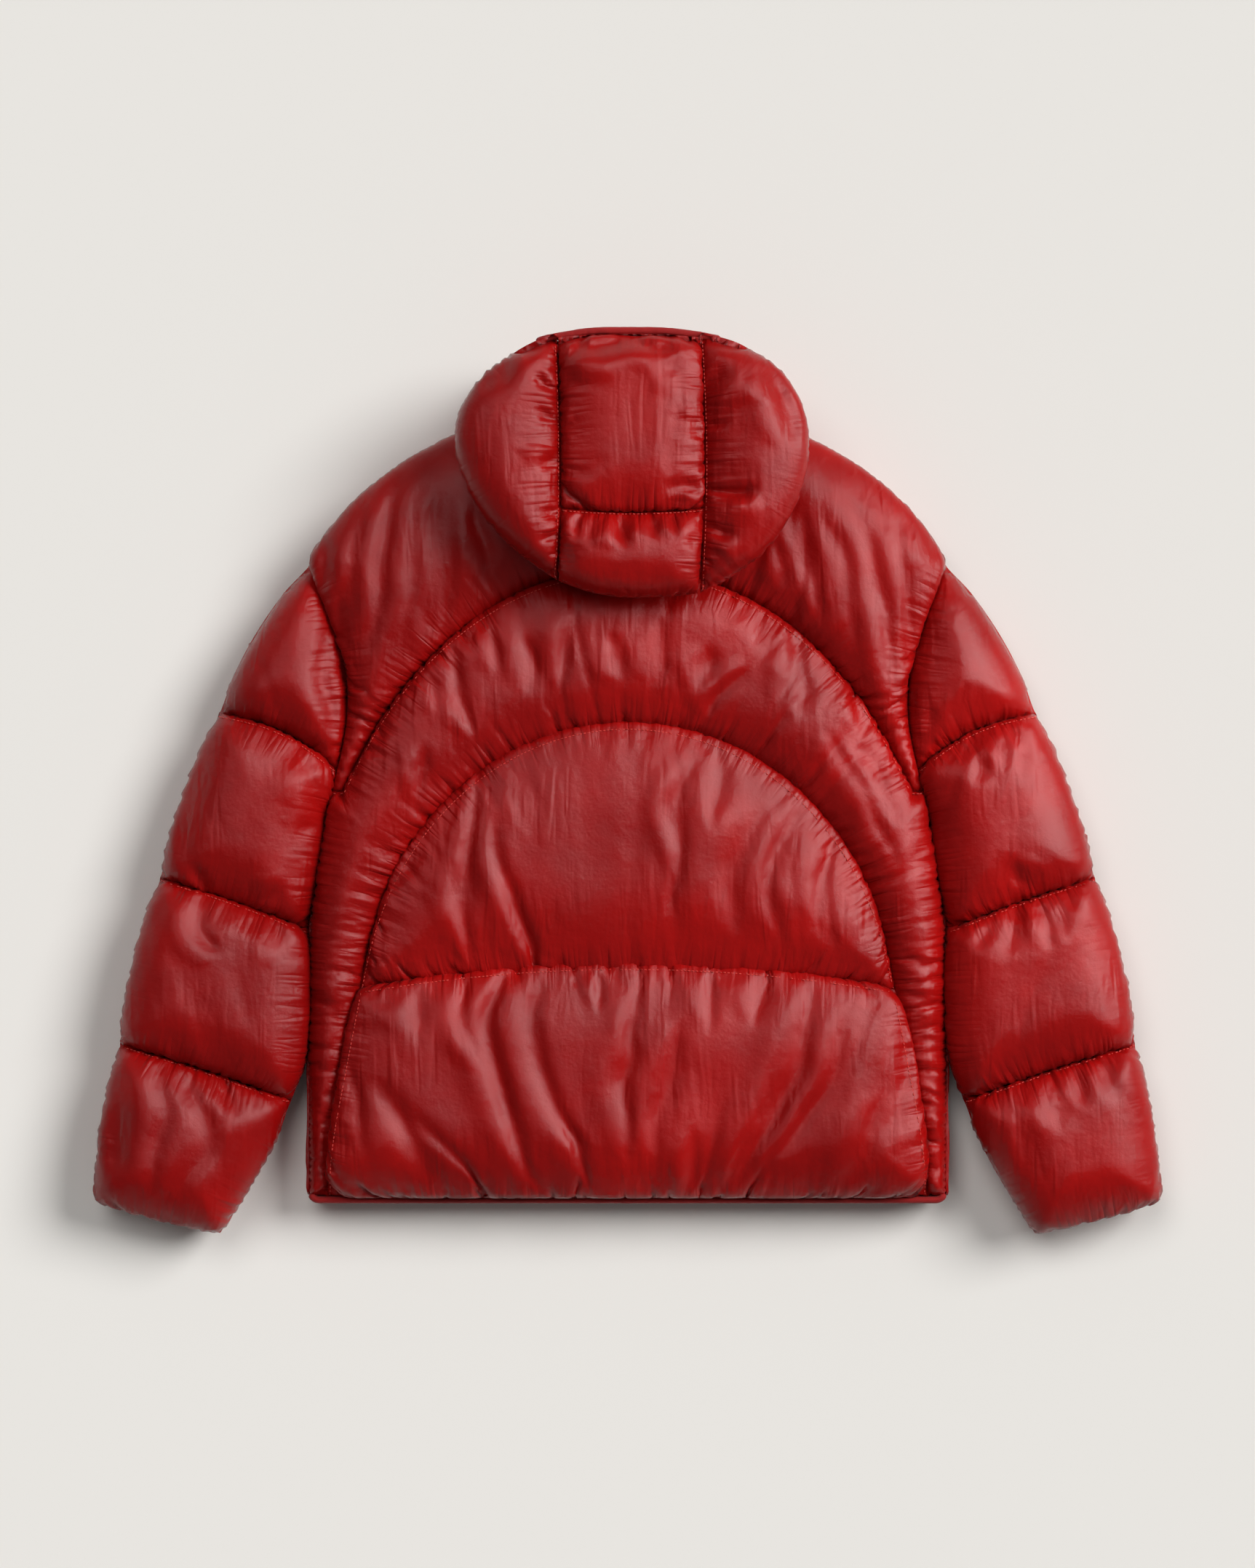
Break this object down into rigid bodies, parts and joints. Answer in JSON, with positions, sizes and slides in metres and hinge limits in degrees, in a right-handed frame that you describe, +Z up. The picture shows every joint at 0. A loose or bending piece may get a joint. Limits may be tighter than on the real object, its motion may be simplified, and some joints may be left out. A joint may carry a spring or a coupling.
{
  "type": "ski jacket",
  "caption": "Hooded quilted down ski jacket lying face down, with a hinged hood, jointed sleeves, opening front and a front zip.",
  "frame": {"origin": "centre of the jacket's bounding box, on the surface it lies on", "axes": "+Z up from the surface, +Y from hem to hood, +X to the wearer's right; the jacket lies face down"},
  "size_m": [0.991, 0.8419, 0.1725],
  "materials": {
    "shell": "satin",
    "lining": "satin",
    "binding": "matte",
    "zip_tape": "matte",
    "metal": "satin"
  },
  "bodies": {
    "torso": {"back_yoke": "shell", "back_arch_band": "shell", "back_dome_panel": "shell", "back_lower_panel": "shell", "back_lining": "lining", "left_side_seam": "shell", "right_side_seam": "shell", "left_shoulder_seam": "shell", "right_shoulder_seam": "shell", "left_front_shoulder_panel": "shell", "right_front_shoulder_panel": "shell", "left_front_side_panel": "shell", "right_front_side_panel": "shell", "left_front_hem_panel": "shell", "right_front_hem_panel": "shell", "left_front_lining": "lining", "right_front_lining": "lining", "collar_back": "shell", "hanger_loop": "binding", "hem_binding": "binding"},
    "left_flap": {"left_flap_upper_panel": "shell", "left_flap_middle_panel": "shell", "left_flap_lower_panel": "shell", "left_flap_collar": "shell", "left_flap_lining": "lining", "left_flap_hem_binding": "binding", "left_zip_tape": "zip_tape"},
    "right_flap": {"right_flap_upper_panel": "shell", "right_flap_middle_panel": "shell", "right_flap_lower_panel": "shell", "right_flap_collar": "shell", "right_flap_lining": "lining", "right_flap_hem_binding": "binding", "right_zip_tape": "zip_tape"},
    "zip_slider_body": {"zip_slider": "metal"},
    "zip_pull_body": {"zip_pull": "metal"},
    "hood": {"left_hood_side_panel": "shell", "right_hood_side_panel": "shell", "hood_top_panel": "shell", "hood_crown_panel": "shell", "hood_under_panel": "shell", "hood_binding": "binding", "hood_lining": "lining"},
    "left_upper_sleeve": {"left_sleeve_cap": "shell", "left_sleeve_upper": "shell", "left_upper_sleeve_lining": "lining"},
    "left_forearm": {"left_sleeve_lower": "shell", "left_sleeve_end": "shell", "left_cuff_binding": "binding", "left_forearm_lining": "lining"},
    "right_upper_sleeve": {"right_sleeve_cap": "shell", "right_sleeve_upper": "shell", "right_upper_sleeve_lining": "lining"},
    "right_forearm": {"right_sleeve_lower": "shell", "right_sleeve_end": "shell", "right_cuff_binding": "binding", "right_forearm_lining": "lining"}
  },
  "joints": [
    {"name": "hood_turn", "type": "hinge", "parent": "torso", "child": "hood", "pos_m": [0, 0.4215, 0.0915], "axis": [-1, 0, 0], "range_deg": [0, 150]},
    {"name": "left_front_open", "type": "hinge", "parent": "torso", "child": "left_flap", "pos_m": [-0.095, 0.395, 0], "axis": [0.2076, 0.9782, 0], "range_deg": [0, 150]},
    {"name": "right_front_open", "type": "hinge", "parent": "torso", "child": "right_flap", "pos_m": [0.095, 0.395, 0], "axis": [0.2076, -0.9782, 0], "range_deg": [0, 150]},
    {"name": "left_shoulder_swing", "type": "hinge", "parent": "torso", "child": "left_upper_sleeve", "pos_m": [-0.295, 0.208, 0.038], "axis": [0, 0, -1], "range_deg": [0, 55]},
    {"name": "right_shoulder_swing", "type": "hinge", "parent": "torso", "child": "right_upper_sleeve", "pos_m": [0.295, 0.208, 0.038], "axis": [0, 0, 1], "range_deg": [0, 55]},
    {"name": "left_sleeve_fold", "type": "hinge", "parent": "left_upper_sleeve", "child": "left_forearm", "pos_m": [-0.3655, -0.1115, 0.092], "axis": [-0.9473, 0.3203, 0], "range_deg": [0, 140]},
    {"name": "right_sleeve_fold", "type": "hinge", "parent": "right_upper_sleeve", "child": "right_forearm", "pos_m": [0.3655, -0.1115, 0.092], "axis": [-0.9473, -0.3203, 0], "range_deg": [0, 140]},
    {"name": "front_zip_slide", "type": "slide", "parent": "left_flap", "child": "zip_slider_body", "axis": [0, -1, 0], "range_m": [0, 0.74]},
    {"name": "zip_pull_swing", "type": "hinge", "parent": "zip_slider_body", "child": "zip_pull_body", "pos_m": [-0.0034, 0.389, 0.0087], "axis": [1, 0, 0], "range_deg": [0, 170]}
  ]
}
